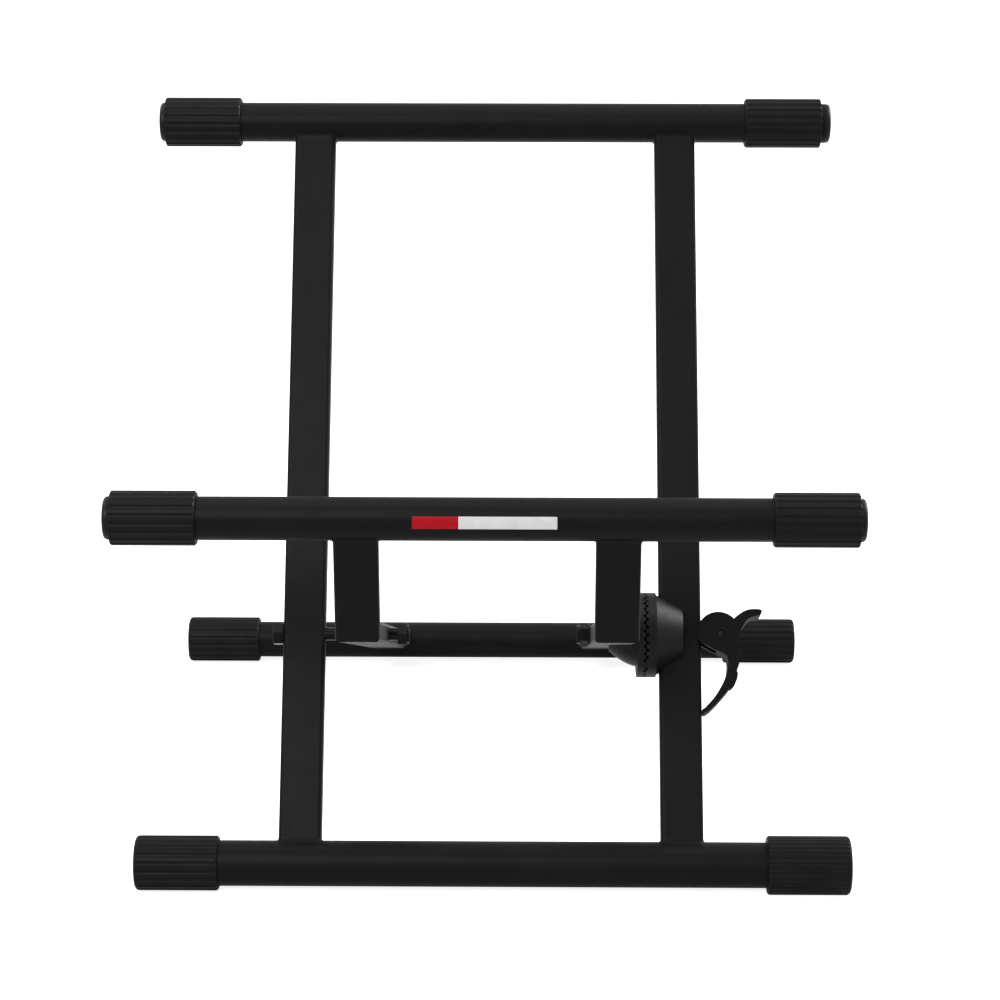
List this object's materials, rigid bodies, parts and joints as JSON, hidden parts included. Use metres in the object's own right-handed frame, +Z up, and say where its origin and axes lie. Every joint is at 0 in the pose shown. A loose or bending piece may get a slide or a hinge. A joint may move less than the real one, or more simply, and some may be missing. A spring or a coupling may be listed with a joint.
{
  "type": "combo amplifier stand",
  "caption": "Folding tilt-back stand for a combo amplifier: crossed tube frames joined by a toothed clutch with a cam lever, on rubber foot caps, with ribbed grips on the bars.",
  "frame": {"origin": "on the floor, under the middle of the bounding box of the open stand", "axes": "+X to the right along the cross bars, +Y to the rear, +Z up"},
  "size_m": [0.443, 0.3798, 0.427],
  "materials": {
    "frame_paint": "satin black powder coat",
    "grip_rubber": "matt black moulded rubber",
    "plug_plastic": "matt black",
    "clutch_nylon": "satin black glass-filled nylon",
    "black_hardware": "black oxide",
    "bush_bronze": "sintered bronze",
    "pad_rubber": "matt black"
  },
  "bodies": {
    "outer_frame": {"front_foot_tube": "frame_paint", "top_tube": "frame_paint", "outer_leg_left": "frame_paint", "outer_leg_right": "frame_paint", "leg_bush_left": "bush_bronze", "leg_bush_right": "bush_bronze", "front_foot_cap_left": "grip_rubber", "front_foot_cap_right": "grip_rubber", "top_grip_left": "grip_rubber", "top_grip_right": "grip_rubber", "top_end_plug_left": "plug_plastic", "top_end_plug_right": "plug_plastic", "pivot_bolt": "black_hardware", "pivot_washer": "black_hardware", "pivot_lock_nut": "black_hardware", "outer_clutch_half": "clutch_nylon", "release_spring": "black_hardware"},
    "inner_frame": {"seat_tube": "frame_paint", "rear_foot_tube": "frame_paint", "inner_post_left": "frame_paint", "inner_post_right": "frame_paint", "inner_arm_left": "frame_paint", "inner_arm_right": "frame_paint", "arm_bush_left": "bush_bronze", "arm_bush_right": "bush_bronze", "rear_foot_cap_left": "grip_rubber", "rear_foot_cap_right": "grip_rubber", "seat_grip_left": "grip_rubber", "seat_grip_right": "grip_rubber", "seat_end_plug_left": "plug_plastic", "seat_end_plug_right": "plug_plastic", "inner_clutch_half": "clutch_nylon"},
    "draw_rod": {"draw_rod": "black_hardware", "rod_washer": "black_hardware", "rod_lock_nut": "black_hardware"},
    "cam_lever": {"cam_lever": "clutch_nylon", "lever_pin": "black_hardware", "lever_pad": "pad_rubber"}
  },
  "joints": [
    {"name": "clutch_release", "type": "slide", "parent": "outer_frame", "child": "draw_rod", "axis": [1, 0, 0], "range_m": [-0.0024, 0]},
    {"name": "fold", "type": "hinge", "parent": "draw_rod", "child": "inner_frame", "pos_m": [0.09765, -0.07213, 0.13249], "axis": [1, 0, 0], "range_deg": [-68.7, 75.8]},
    {"name": "lever_turn", "type": "hinge", "parent": "draw_rod", "child": "cam_lever", "pos_m": [0.14405, -0.07213, 0.13249], "axis": [0, -0.8151, 0.5793], "range_deg": [0, 72]}
  ],
  "couplings": [
    {"joint": "lever_turn", "follows": "clutch_release", "rad_per_m": -523.59}
  ]
}
